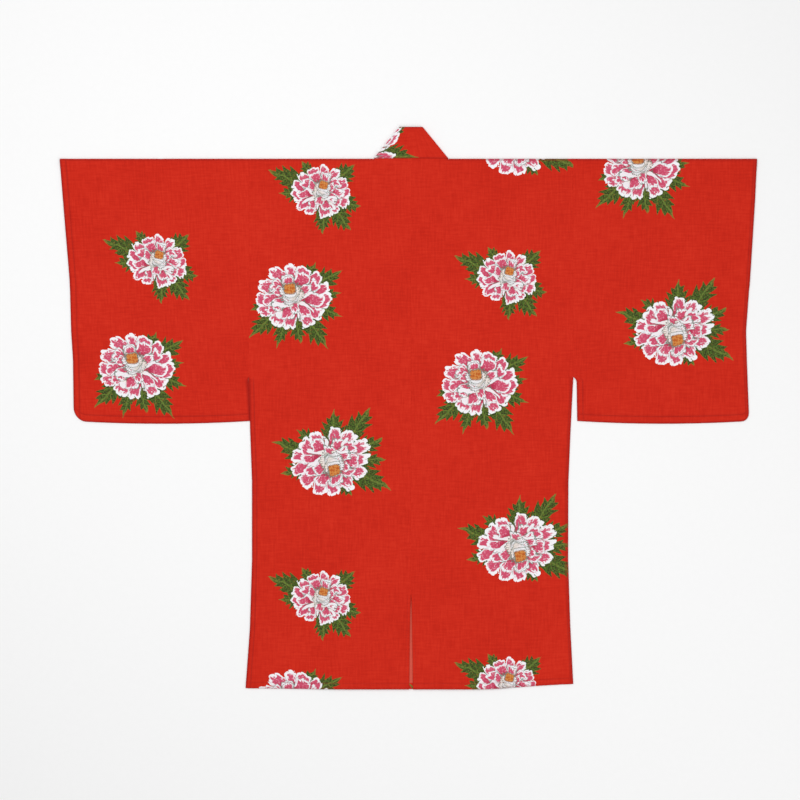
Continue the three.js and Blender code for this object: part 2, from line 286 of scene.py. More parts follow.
def layered(course, sign, x, y, closing):
    # Middle of the cloth on one layer. closing is 1 where the layers are sewn to each other.
    bottom = frontLift(sign, x, y) + cut["cadCloth"] / 2
    seam = (bottom + cut["cadCloth"] / 2) + cut["gap"] / 2
    if course == "back":
        return between(backMiddle(x, y), seam + cloth["thickness"] / 2, closing)
    bottom = bottom + np.maximum(creaseHeight(x, y, creases["fronts"]), 0) + frontRipple(x, y)
    return between(bottom, seam - cloth["thickness"] / 2, closing)


def foldPoint(sign, x, angle):
    # The cloth turning over at the shoulder: 0 degrees is on the back and 180 on the front.
    y = np.full_like(x, -cut["foldReach"])
    half = cut["cadCloth"] / 2
    top, bottom = backMiddle(x, y), frontLift(sign, x, y) + half + frontRipple(x, y)
    turned = math.radians(angle)
    y = y + (cut["foldReach"] - half) * math.sin(turned)
    return y, between(bottom, top, (1 + math.cos(turned)) / 2)


def steps(start, end, pitch, fine=()):
    # Distances from start to end: the fine ones first, then even steps of about pitch.
    first = [start + step for step in fine if start + step < end] or [start]
    count = max(1, round((end - first[-1]) / pitch))
    return np.array([*first, *np.linspace(first[-1], end, count + 1)[1:]])


# Rows of points stand closer together beside edges, seams and the shoulder fold.
edgeFine = [0, 0.3, 0.8, 1.5, 2.6, 4, 5.6, 7.4, 8.8, 9.8, 10.7, 11.6, 12.8, 15, 18.5]
seamFine = [0, 0.3, 0.8, 1.5, 2.6, 4, 5.2, 6, 6.8, 7.8, 10, 14]
okumiFine = [0, 0.4, 1, 2, 4, 6, 8, 9.6, 10.6, 11.6, 13, 16]
foldFine = [3, 5.5, 8, 10.5, 13.5, 17, 21, 25, 30, 35, 40, 45, 50, 55]
foldAngles = range(15, 180, 15)


def coursesOf(backRows, frontRows):
    # A panel's rows of points, up the back, over the shoulder fold and down the front.
    rows = {"back": backRows, "fold": foldAngles, "front": frontRows}
    return [(course, value) for course, values in rows.items() for value in values]


def blankGrids(rows, columns):
    # A panel row by row: the middle of the cloth, how far its printed and inner face stand off it,
    # where the reverse shows, lines of painted shade, places on the bolt, and the quads that are cut
    # away.
    half = np.full((rows, columns), cloth["thickness"] / 2)
    return {
        "mid": np.zeros((rows, columns, 3)),
        "outer": half,
        "inner": half.copy(),
        "reverse": np.ones((rows, columns)),
        "pressed": np.zeros((rows, columns)),
        "strip": np.zeros((rows, columns, 2)),
        "isCut": np.zeros((rows - 1, columns - 1), bool),
    }


def layRow(grids, i, point, hem, raised, thicker, pressed, place):
    # hem is 1 in a turned hem; raised and thicker are how far it shows on the printed and inner face.
    grids["mid"][i] = np.stack(point, axis=1)
    grids["outer"][i] += cloth["hemShows"] * raised
    grids["inner"][i] += cloth["hemExtra"] * thicker
    grids["reverse"][i] = 1 - hem
    grids["pressed"][i] = np.max(np.broadcast_arrays(*pressed), axis=0)
    grids["strip"][i] = place


def faceOut(grids, up=True, row=0, column=0):
    # Turns the grids end for end unless the printed side faces up, or down, at the given place.
    around = ((0, 0), (1, 0), (1, 1), (0, 1))
    a, b, c, d = (grids["mid"][row + i, column + j] for i, j in around)
    if (np.cross(c - a, d - b)[2] > 0) == up:
        return grids
    return {key: grid[:, ::-1] for key, grid in grids.items()}


def unit(vectors):
    return vectors / np.maximum(np.linalg.norm(vectors, axis=-1, keepdims=True), 1e-12)


def shellMesh(node, grids):
    # Closed thin wall of cloth.
    mid, outer, inner = grids["mid"], grids["outer"], grids["inner"]
    rows, columns, _ = mid.shape
    keep = ~grids["isCut"]
    facing = unit(np.cross(mid[1:, 1:] - mid[:-1, :-1], mid[:-1, 1:] - mid[1:, :-1]))
    facing[~keep] = 0
    normal = np.zeros_like(mid)
    used = np.zeros((rows, columns), bool)
    for di, dj in ((0, 0), (1, 0), (1, 1), (0, 1)):
        quads = (slice(di, rows - 1 + di), slice(dj, columns - 1 + dj))
        normal[quads] += facing
        used[quads] |= keep
    normal = unit(normal)[used]
    count = int(used.sum())
    number = -np.ones((rows, columns), int)
    number[used] = np.arange(count)
    flat, outer, inner = mid[used], outer[used], inner[used]
    pressed, strip = grids["pressed"][used], grids["strip"][used]
    points = [flat + normal * outer[:, None], flat - normal * inner[:, None]]
    shows = [np.zeros(count), grids["reverse"][used]]

    i, j = np.nonzero(keep)
    corners = np.stack([number[i, j], number[i + 1, j], number[i + 1, j + 1], number[i, j + 1]], axis=1)
    faces = [corners, corners[:, ::-1] + count]

    # The rim: one ring of points round every open edge, pushed out by half the cloth.
    sides = {}
    for quad, row, column in zip(corners.tolist(), i.tolist(), j.tolist()):
        for k in range(4):
            start, end = quad[k], quad[(k + 1) % 4]
            if (end, start) in sides:
                del sides[(end, start)]
            else:
                sides[(start, end)] = (row, column)
    push = {}
    for (start, end), (row, column) in sides.items():
        along = unit(flat[end] - flat[start])
        quad = mid[row:row + 2, column:column + 2].reshape(4, 3)
        out = (flat[start] + flat[end]) / 2 - quad.mean(0)
        out = unit(out - along * out.dot(along))
        for corner in (start, end):
            push[corner] = push.get(corner, 0) + out
    ring = {corner: 2 * count + n for n, corner in enumerate(push)}
    edge = list(push)
    half = (outer[edge] + inner[edge]) / 2
    points.append(flat[edge] + unit(np.array(list(push.values()))) * half[:, None])
    shows.append(np.zeros(len(edge)))
    walls = []
    for start, end in sides:
        walls.append((end, start, ring[start], ring[end]))
        walls.append((ring[end], ring[start], start + count, end + count))
    faces.append(np.array(walls))

    points = (np.concatenate(points) + [layout["originX"], layout["originY"], 0]) * layout["metre"]
    mesh = bpy.data.meshes.new("cloth_" + node)
    mesh.from_pydata(points.tolist(), [], np.concatenate(faces).tolist())
    marks = {"reverse": shows, "pressed": [pressed, pressed, pressed[edge]]}
    for mark, values in marks.items():
        values = np.concatenate(values).astype(np.float32)
        mesh.attributes.new(mark, "FLOAT", "POINT").data.foreach_set("value", values)
    places = np.concatenate([strip, strip, strip[edge]]) * layout["metre"]
    corner = np.zeros(len(mesh.loops), np.int32)
    mesh.loops.foreach_get("vertex_index", corner)
    layer = mesh.uv_layers.new(name="strip")
    layer.data.foreach_set("uv", places[corner].astype(np.float32).ravel())
    mesh.shade_smooth()
    mesh.validate()
    return linked(mesh)


def linked(data):
    piece = bpy.data.objects.new(data.name, data)
    bpy.context.scene.collection.objects.link(piece)
    return piece


def onBolt(node, x, run):
    atX, atDown, across, along, drift = bolt[node]
    return np.stack([across + (x - atX) + drift * (run - atDown), along + run - atDown + 0 * x], axis=-1)


def clothRun(course, value, down):
    # The way along the cloth from the shoulder fold: more than 0 on the back, less on the front.
    if course == "fold":
        return between(cut["foldReach"], -cut["foldReach"], value / 180)
    return down if course == "back" else -down


def begun(what, down, level):
    first, last = begins[what]
    return ease(down, level + first, level + last)


def band(away, width=cloth["hemWidth"], ends="hemEnds"):
    # 1 in a turned hem or allowance, 0 just past its inner edge; away is the distance from the edge.
    first, last = cloth[ends]
    return 1 - ease(away, width + first, width + last)


def closed(away):
    # 1 at a sewn edge, where the layers meet.
    return 1 - ease(away, 0, cloth["closeRun"])


def laid(course, value, sign, x, y, closing, dips):
    # A row of points on the shoulder fold, or on its layer of cloth, where it dips beside a seam.
    if course == "fold":
        return x, *foldPoint(sign, x, value)
    inward = -1 if course == "back" else 1
    return x, y, layered(course, sign, x, y, closing) + inward * cloth["seamDip"] * dips


# Painted shade: a darker line of colour standing in for the shade at an edge, fold or seam.
def shadedLine(line, away):
    width, share = shadeWidths[line]
    return share * near(away, width)


def drawnUp(shape, out):
    # The hem runs up to the side, most on the right.
    return shape["hemDrawnUp"] * ease(out, *cut["hemDrawnOver"])


def slitAt(shape, down):
    # How far the free sleeve stands off the body below the armhole.
    below = (down - cut["armholeDepth"]) / (cut["sleeveDepth"] - cut["armholeDepth"])
    return between(shape["slitTop"], shape["slitFoot"], below)


def bodyRows(hem):
    # Distances down from the shoulder, from the hem up to the fold.
    fromHem = steps(0, hem - foldFine[-1] - 5, spacing["body"][0], edgeFine)
    return np.concatenate([hem - fromHem, foldFine[::-1]])


def bodyHalf(node, side):
    shape = halves[side]
    sign, length, armhole = shape["sign"], cut["bodyLength"], cut["armholeDepth"]
    frontHem, ventTop = length - cut["frontShorter"], length - cut["ventHeight"]
    beside, neckEdge = cut["besideSeam"], cut["neckHalfWidth"] + cut["gap"] * 1.5
    reach = shape["bodyEdge"][0][1] - neckEdge
    sideShare = steps(0, reach, spacing["body"][1], edgeFine) / reach
    neckShare = 1 - steps(0, neckEdge, spacing["neck"], seamFine)[::-1][1:] / neckEdge
    sideCount = len(sideShare)
    courses = coursesOf(bodyRows(length), bodyRows(frontHem)[::-1])
    neckRow = courses.index(("fold", foldAngles[0]))
    grids = blankGrids(len(courses), sideCount + len(neckShare))
    grids["isCut"][neckRow:neckRow + len(foldAngles), sideCount - 1:] = True
    for i, (course, value) in enumerate(courses):
        down = cut["foldReach"] if course == "fold" else value
        free = begun("free", down, armhole)
        edge = reading(shape["bodyEdge"], down) + cut["besideSleeve"] * (1 - free)
        intoVent = max(0, (down - ventTop) / cut["ventHeight"])
        if course == "front":
            innerEdge = max(collarSeamAt(-down) + cut["besideCollar"], cut["okumiSeam"] + beside)
        else:
            innerEdge = beside + cut["ventWidth"] / 2 * math.sqrt(intoVent)
        out = np.concatenate([
            between(edge, neckEdge, sideShare), between(neckEdge, innerEdge, neckShare),
        ])
        x, y = sign * out, drawnUp(shape, out) * ease(down, cut["hemDrawnBelow"], length) - down
        fromSide, fromInner = edge - out, out - innerEdge
        fromHem = (length if course == "back" else frontHem) - down
        closing = closed(fromSide) * begun("sideSewn", down, armhole)
        hem = band(fromHem) + 0 * out
        allowance = band(fromSide, shape["seamAllowance"], "allowanceEnds")
        allowance = allowance * begun("sideAllowance", down, armhole)
        run = clothRun(course, value, down)
        dips = near(fromSide, cloth["seamRun"]) * (1 - free)
        if course == "front" or intoVent == 0:
            dips = dips + near(fromInner, cloth["seamRun"])
        x, y, z = laid(course, value, sign, x, y, closing, dips)
        if i == neckRow:
            # Behind the neck there is no fold: the back ends here.
            y[sideCount:] = -0.1
            z[sideCount:] = backUnderside(x[sideCount:], y[sideCount:]) + cut["cadCloth"] / 2
        if course == "back":
            run = run - (y + down)
            vent = (1 - ease(fromInner, *cloth["ventHem"])) * begun("vent", down, ventTop)
            hem = np.maximum(hem, vent)
        # Painted shade along the side edge, the seam allowance's edge, the shoulder fold and the hem.
        pressed = [
            shadedLine("side", fromSide) * free,
            shadedLine("allowance", fromSide - shape["seamAllowance"]) * free,
            shadedLine("shoulder", down - cut["foldReach"] / 2) * ease(out, 62, 74),
            shadedLine("bodyHem", fromHem),
            shadedLine("bodyHemInside", fromHem - cloth["hemWidth"]),
        ]
        raised = np.maximum(hem, cloth["allowanceShows"] * allowance * (1 - closing))
        place = onBolt(node, x, run)
        layRow(grids, i, (x, y, z), hem, raised, hem * (1 - closing), pressed, place)
    return shellMesh(node, faceOut(grids))


def sleeve(node, side):
    # Sewn shut along the foot, below the cuff's opening and below the armhole.
    shape = halves[side]
    sign, depth, armhole = shape["sign"], cut["sleeveDepth"], cut["armholeDepth"]
    width = shape["cuffEdge"][0][1] - shape["bodyEdge"][0][1]
    away = steps(0, width / 2, spacing["sleeve"][1], edgeFine)
    share = np.concatenate([away, (width - away)[::-1][1:]]) / width
    intoCurve = np.linspace(0, 1, 9)[:-1] ** 0.7 * shape["cornerRadius"]
    curveShare = 1 - (shape["cornerRadius"] - intoCurve) / width
    share = np.unique(np.round(np.concatenate([share, curveShare]), 5))
    share = share[np.concatenate([[True], np.diff(share) > 0.0004])]
    corner = shape["cornerRadius"] / width
    intoCorner = np.clip((share - (1 - corner)) / corner, 0, 1)
    rounded = shape["cornerRadius"] * (1 - np.sqrt(1 - intoCorner**2))
    footAt = depth - rounded - cut["sleeveBow"] * (2 * share - 1) ** 2
    nearFold = np.array(foldFine[10::-1])
    fromFoot = steps(0, depth - nearFold[0] - 5, spacing["sleeve"][0], edgeFine)
    downShares = np.concatenate([1 - fromFoot / depth, nearFold / depth])
    courses = coursesOf(downShares, downShares[::-1])
    grids = blankGrids(len(courses), len(share))
    for i, (course, value) in enumerate(courses):
        down = np.full_like(share, cut["foldReach"]) if course == "fold" else footAt * value
        free = begun("free", down, armhole)
        standOff = free * slitAt(shape, down)
        if course == "front":
            standOff = standOff * shape["frontSlit"]
        innerEdge = reading(shape["bodyEdge"], down) + cut["gap"] * (0.5 + 0.5 * free) + standOff
        cuff = reading(shape["cuffEdge"], down)
        out = between(innerEdge, cuff, share)
        x, y = sign * out, -down
        fromInner, fromCuff, fromFoot = out - innerEdge, cuff - out, footAt - down
        closing = np.max([
            closed(fromFoot),
            closed(fromCuff) * begun("cuffSewn", down, cloth["cuffOpening"]),
            closed(fromInner) * begun("slitSewn", down, armhole),
        ], axis=0)
        hem = band(fromInner) * free * begun("slitHem", down, armhole)
        hem = np.maximum(band(fromCuff, shape["cuffHem"]), hem)
        allowance = band(fromFoot, sewing["footSeam"], "allowanceEnds")
        dips = near(fromInner, cloth["seamRun"]) * (1 - free)
        point = laid(course, value, sign, x, y, closing, dips)
        thicker = hem * (1 - closing) * (course != "fold")
        slitHem = free * shape["frontSlit"]
        # Painted shade along the cuff, the slit, the foot seam, the inner lines of their hems and the
        # shoulder fold.
        pressed = [
            shadedLine("hem", fromCuff),
            shadedLine("hemInside", fromCuff - shape["cuffHem"]),
            shadedLine("hem", fromInner) * free,
            shadedLine("hemInside", fromInner - cloth["hemWidth"]) * slitHem,
            shadedLine("foot", fromFoot),
            shadedLine("footInside", fromFoot - sewing["footSeam"]),
            shadedLine("shoulder", down - cut["foldReach"] / 2),
        ]
        raised = np.maximum(hem, allowance) * (1 - closing)
        place = onBolt(node, x, clothRun(course, value, down))
        layRow(grids, i, point, hem, raised, thicker, pressed, place)
    return shellMesh(node, faceOut(grids))


def okumi(node, side):
    # The overlap panel, from the hem up to its tip beside the collar. Its printed side is down.
    sign = halves[side]["sign"]
    seam = cut["okumiSeam"] - cut["besideSeam"]
    tipWidth = cut["okumiSeam"] + cut["gap"] / 2 - cut["okumiTip"] - cut["neckHalfWidth"]
    hemY = cut["frontShorter"] - cut["bodyLength"]
    levels = hemY + steps(0, tipWidth / bandSlope - hemY, spacing["okumi"][0], edgeFine)
    width = cut["okumiWidth"]
    share = steps(0, width, spacing["okumi"][1], seamFine[:4] + [3])
    share = np.concatenate([share[share < width - 19], width - np.array(okumiFine)])
    share = np.unique(np.round(share, 3)) / width
    grids = blankGrids(len(levels), len(share))
    for i, level in enumerate(levels):
        edge = max(collarSeamAt(level) + cut["besideCollar"], -cut["okumiPastCentre"])
        out = between(seam, edge, share)
        x, y = sign * out, np.full_like(share, level)
        dips = near(seam - out, cloth["seamRun"])
        point = laid("front", None, sign, x, y, 0, dips)
        straight = ease(-level, -collarEndY - 8, -collarEndY + 10)
        hem = np.maximum(band(level - hemY), band(out - edge) * straight)
        # Painted shade along the straight edge and the hem.
        pressed = [shadedLine("hem", out - edge) * straight, shadedLine("bodyHem", y - hemY)]
        layRow(grids, i, point, hem, hem, hem, pressed, onBolt(node, x, y))
    return shellMesh(node, faceOut(grids, up=False))


def collarBand(node):
    # The band is folded cloth, so both of its long edges are round and both faces show the print.
    width, radius = cut["collarWidth"], cut["foldRadius"]
    half, level = cloth["collarThickness"] / 2, cut["cadCollar"] / 2
    nearEdge = np.array([0, 0.06, 0.2, 0.45, 0.85, 1.6, 3, 5])
    across = np.concatenate([nearEdge, np.linspace(8, width - 8, 12), (width - nearEdge)[::-1]]) / width
    fromEdge = np.minimum(across, 1 - across) * width
    swell = np.sqrt(1 - (1 - np.minimum(fromEdge / half, 1)) ** 2)
    inset = radius + level
    backTrim, frontTrim = inset / foldOut[0], -inset / bandRun.dot(foldOut)
    spareFree = cut["neckHalfWidth"] - cut["collarTopHalf"]
    backEnd = np.array([[foldFoot[0] - backTrim, 0.05], [foldTop[0] - backTrim, width - 0.2]])
    backRun, foldRun = 48, 4.7  # along the band from the centre back to the fold, and round the fold

    def frontAt(share):
        return np.array([
            foldFoot + bandRun * between(frontTrim, bandLength, share),
            foldTop + bandRun * between(frontTrim, bandLength + spareFree, share),
        ])

    def section(sign, ends, height, run):
        # One row of points across the band, and how far along the band it stands.
        flat = between(ends[0], ends[1], across[:, None])
        x, y = sign * flat[:, 0], flat[:, 1]
        return np.stack([x, y, level + height(x, y) + 0 * x], axis=1), run

    def wavy(x, y):
        return 2 * radius + 0.25 * np.sin(x / 17) * np.sin(y / width * math.pi)

    def bandSide(sign):
        made = [
            section(sign, backEnd * [share, 1], wavy, share * backRun)
            for share in (0.2, 0.4, 0.6, 0.8, 0.92, 1)
        ]
        for degrees in foldAngles:
            turned = math.radians(degrees)
            rise = radius * (1 + math.cos(turned))
            ends = between(backEnd, frontAt(0), degrees / 180) + foldOut * radius * math.sin(turned)
            run = backRun + degrees / 180 * foldRun
            made.append(section(sign, ends, lambda x, y: rise, run))
        for share in np.concatenate([np.linspace(0, 0.2, 34), np.linspace(0.2, 1, 104)[1:]]):
            run = backRun + foldRun + share * bandLength
            made.append(section(sign, frontAt(share), lambda x, y: frontLift(sign, x, y), run))
        return made

    left, right = bandSide(-1), bandSide(1)
    centre = section(1, backEnd * [0, 1], lambda x, y: 2 * radius, 0)
    sections = [(points, -run) for points, run in left[::-1]] + [centre] + right
    runs = np.array([run for _, run in sections])[:, None]
    grids = blankGrids(len(sections), len(across))
    grids["mid"] = np.stack([points for points, _ in sections])
    grids["outer"] = grids["inner"] = np.tile(half * swell, (len(sections), 1))
    grids["reverse"][:] = 0
    # Painted shade along both round edges of the band.
    grids["pressed"][:] = shadedLine("collar", fromEdge)
    grids["strip"] = onBolt(node, -across * width, -runs)
    return shellMesh(node, faceOut(grids, row=len(left), column=5))


makers = {"body": bodyHalf, "sleeve": sleeve, "okumi": okumi}
panels = {
    f"{part}_{side}": make(f"{part}_{side}", side) for part, make in makers.items() for side in halves
}
panels["collar"] = collarBand("collar")
print("panels cut and sewn:", {name: len(piece.data.polygons) for name, piece in panels.items()})


def acrossRun(sign, start, end, down):
    count = max(2, round(abs(end - start) / spacing["stitches"]))
    return [(sign * between(start, end, k / count), -down) for k in range(count + 1)]


def downRun(sign, outAt, first, last):
    return [(sign * float(outAt(down)), -down) for down in np.arange(first, last, spacing["stitches"])]


def bodyRuns(side):
    # Each run is a row of points on the panel, with True if it is sewn on the back of the garment.
    shape = halves[side]
    sign, hem = shape["sign"], cut["bodyLength"] - sewing["fromFold"]
    frontHem, ventTop = hem - cut["frontShorter"], cut["bodyLength"] - cut["ventHeight"]
    sideTop = cut["armholeDepth"] + 10

    def sideSeam(down):
        return reading(shape["bodyEdge"], down) - shape["seamAllowance"]

    def ventEdge(down):
        intoVent = max(0, (down - ventTop) / cut["ventHeight"])
        return cut["ventWidth"] / 2 * math.sqrt(intoVent) + sewing["fromVent"]

    backHem = [(x, y + drawnUp(shape, abs(x))) for x, y in acrossRun(sign, *sewing["backHem"], hem)]
    return [
        (downRun(sign, sideSeam, sideTop, hem - 2), True),
        (downRun(sign, ventEdge, ventTop + 6, hem), True),
        (backHem, True),
        (downRun(sign, sideSeam, sideTop, frontHem - 2), False),
        (acrossRun(sign, *sewing["frontHem"], frontHem), False),
    ]


def sleeveRuns(side):
    shape = halves[side]
    sign = shape["sign"]
    foot = cut["sleeveDepth"] - sewing["footSeam"] - 1
    inner = reading(shape["bodyEdge"], foot) + shape["footStitches"]
    outer = reading(shape["cuffEdge"], foot) - sewing["footEnd"]

    def cuff(down):
        return reading(shape["cuffEdge"], down) - shape["cuffHem"] + sewing["insideHem"]

    def slit(down):
        return reading(shape["bodyEdge"], down) + slitAt(shape, down) + sewing["fromFold"]

    rows = [downRun(sign, cuff, 5, foot - 4), acrossRun(sign, inner, outer, foot)]
    runs = [(row, onBack) for onBack in (True, False) for row in rows]
    if shape["frontSlit"]:
        row = downRun(sign, slit, cut["armholeDepth"] + 8, foot - 2)
        runs += [(row, True), (row, False)]
    return runs


def okumiRuns(side):
    sign = halves[side]["sign"]
    hem = cut["bodyLength"] - cut["frontShorter"] - sewing["fromFold"]
    edge = sewing["fromFold"] - cut["okumiPastCentre"]
    return [
        (downRun(sign, lambda down: edge, 10 - collarEndY, hem), False),
        (acrossRun(sign, edge + 3, sewing["okumiHem"], hem), False),
    ]


def operator(operation, reflected=False):
    def calc(self, *other):
        return self.builder.math(operation, *([*other, self] if reflected else [self, *other]))
    return calc


class Signal:
    # A socket of a node tree that takes part in ordinary arithmetic.
    def __init__(self, builder, socket):
        self.builder = builder
        self.socket = socket

    __add__ = __radd__ = operator("ADD")
    __mul__ = __rmul__ = operator("MULTIPLY")
    __sub__, __rsub__ = operator("SUBTRACT"), operator("SUBTRACT", True)
    __truediv__, __pow__ = operator("DIVIDE"), operator("POWER")
    __lt__, __gt__, __abs__ = operator("LESS_THAN"), operator("GREATER_THAN"), operator("ABSOLUTE")


class Builder:
    # Adds nodes to a tree: settings first, then the values and links of their sockets.
    def __init__(self, tree):
        self.tree = tree

    def fill(self, inputs, sockets):
        for key, value in sockets.items():
            if isinstance(value, Signal):
                self.tree.links.new(value.socket, inputs[key])
            else:
                inputs[key].default_value = value

    def node(self, kind, settings=None, sockets=None, out=0):
        made = self.tree.nodes.new(kind)
        for key, value in (settings or {}).items():
            if key == "stops":
                ramp = made.color_ramp.elements
                while len(ramp) < len(value):
                    ramp.new(1)
                for element, (place, colour) in zip(ramp, value):
                    element.position, element.color = place, colour
            elif key == "spread":
                made.color_ramp.interpolation = value
            elif key == "points":
                curve = made.mapping.curves[0].points
                while len(curve) < len(value):
                    curve.new(0.5, 0.5)
                for point, place in zip(curve, value):
                    point.location, point.handle_type = place, "VECTOR"
                made.mapping.update()
            else:
                setattr(made, key, value)
        self.fill(made.inputs, sockets or {})
        return Signal(self, made.outputs[out]) if len(made.outputs) else made

    def outputs(self, signal):
        return [Signal(self, socket) for socket in signal.socket.node.outputs]

    def math(self, operation, *values):
        return self.node("ShaderNodeMath", {"operation": operation}, dict(enumerate(values)))

    def join(self, x, y, z=0):
        return self.node("ShaderNodeCombineXYZ", None, {0: x, 1: y, 2: z})


def stitchTree():
    # Sets a stitch at every pitch along the runs it is given: a small bead drawn out along the run.
    tree = bpy.data.node_groups.new("running stitches", "GeometryNodeTree")
    sockets = {
        "Runs": "Geometry", "Pitch": "Float", "Stitch length": "Float", "Thread width": "Float",
        "Thread height": "Float", "Seed": "Int", "Thread": "Material",
    }
    for label, kind in sockets.items():
        tree.interface.new_socket(label, in_out="INPUT", socket_type="NodeSocket" + kind)
    tree.interface.new_socket("Stitches", in_out="OUTPUT", socket_type="NodeSocketGeometry")
    g = Builder(tree)
    runs, pitch, length, wide, high, seed, material, _ = g.outputs(g.node("NodeGroupInput"))
    curve = g.node("GeometryNodeMeshToCurve", None, {"Mesh": runs})
    spaced = g.node("GeometryNodeResampleCurve", {"mode": "LENGTH"}, {"Curve": curve, "Length": pitch})
    tangent = g.node("GeometryNodeInputTangent")
    pivot = {"axis": "X", "pivot_axis": "Z"}
    aligned = g.node("FunctionNodeAlignRotationToVector", pivot, {"Vector": tangent})
    bead = g.node("GeometryNodeMeshUVSphere", None, {"Segments": 6, "Rings": 4, "Radius": 0.5})
    limits = {2: 0.82, 3: 1.15, "Seed": seed}
    uneven = g.node("FunctionNodeRandomValue", {"data_type": "FLOAT"}, limits, 1)
    placed = g.node("GeometryNodeInstanceOnPoints", None, {
        "Points": spaced, "Instance": bead, "Rotation": aligned,
        "Scale": g.join(length * uneven, wide, high),
    })
    real = g.node("GeometryNodeRealizeInstances", None, {"Geometry": placed})
    threaded = g.node("GeometryNodeSetMaterial", None, {"Geometry": real, "Material": material})
    g.node("NodeGroupOutput", None, {"Stitches": threaded})
    return tree


def sewn(node, runs, tree, thread):
    # The runs are dropped on the panel from above, or from below for the front's printed side.
    panel, metre = panels[node].data, layout["metre"]
    skin = BVHTree.FromPolygons([v.co for v in panel.vertices], [p.vertices for p in panel.polygons])
    points, joins = [], []
    for run, onBack in runs:
        first, side = len(points), 1 if onBack else -1
        for x, y in run:
            place = ((x + layout["originX"]) * metre, (y + layout["originY"]) * metre, 0.1 * side)
            hit = skin.ray_cast(Vector(place), Vector((0, 0, -side)))[0]
            if hit is not None:
                points.append(hit)
        joins += [(k, k + 1) for k in range(first, len(points) - 1)]
    mesh = bpy.data.meshes.new("runs")
    mesh.from_pydata(points, joins, [])
    laid = linked(mesh)
    modifier = laid.modifiers.new("sewing", "NODES")
    modifier.node_group = tree
    values = {
        "Pitch": sewing["pitch"] * metre, "Stitch length": sewing["stitch"] * metre,
        "Thread width": sewing["thread"] * metre, "Thread height": sewing["stands"] * metre,
        "Seed": sewing["seed"], "Thread": thread,
    }
    for item in tree.interface.items_tree:
        if item.name in values:
            modifier[item.identifier] = values[item.name]
    seen = laid.evaluated_get(bpy.context.evaluated_depsgraph_get())
    made = bpy.data.meshes.new_from_object(seen)
    bpy.data.objects.remove(laid)
    made.name = "stitches_" + node
    made.shade_smooth()
    return linked(made)


class Shader(Builder):
    def __init__(self, name):
        self.material = bpy.data.materials.new(name)
        self.material.use_nodes = True
        super().__init__(self.material.node_tree)

    def vector(self, operation, *values, out=0):
        return self.node("ShaderNodeVectorMath", {"operation": operation}, dict(enumerate(values)), out)

    def scaled(self, vector, scale):
        return self.node("ShaderNodeVectorMath", {"operation": "SCALE"}, {0: vector, "Scale": scale})

    def parts(self, vector):
        return self.outputs(self.node("ShaderNodeSeparateXYZ", None, {0: vector}))

    def blend(self, share, a, b):
        # Colours a and b mixed by share.
        return self.node("ShaderNodeMix", {"data_type": "RGBA"}, {0: share, 6: a, 7: b}, 2)

    def fade(self, value, start, end):
        # 0 at start and 1 at end, smoothly.
        limits = {0: value, 1: start, 2: end}
        return self.node("ShaderNodeMapRange", {"interpolation_type": "SMOOTHSTEP"}, limits)

    def noise(self, vector, scale, detail=2, rough=0.5, out=0):
        values = {"Vector": vector, "Scale": scale, "Detail": detail, "Roughness": rough}
        return self.node("ShaderNodeTexNoise", {"noise_dimensions": "3D"}, values, out)

    def bump(self, height, distance, strength):
        values = {"Strength": strength, "Distance": distance, "Height": height}
        return self.node("ShaderNodeBump", None, values)

    def feed(self, **sockets):
        surface = self.tree.nodes["Principled BSDF"]
        self.fill(surface.inputs, {key.replace("_", " "): value for key, value in sockets.items()})


# The printed repeat. Three flowers follow each other along the bolt; their middles are given
# across and along it, in millimetres, with the stretch of the repeat that belongs to each.
repeat = {
    "length": 754.5, "start": -123.5,
    "small": {"size": 50},
    "open": {"across": -55.7, "along": 194.9, "size": 63, "from": 102},
    "turned": {"across": 19.5, "along": 499.3, "size": 64.5, "from": 343},
}

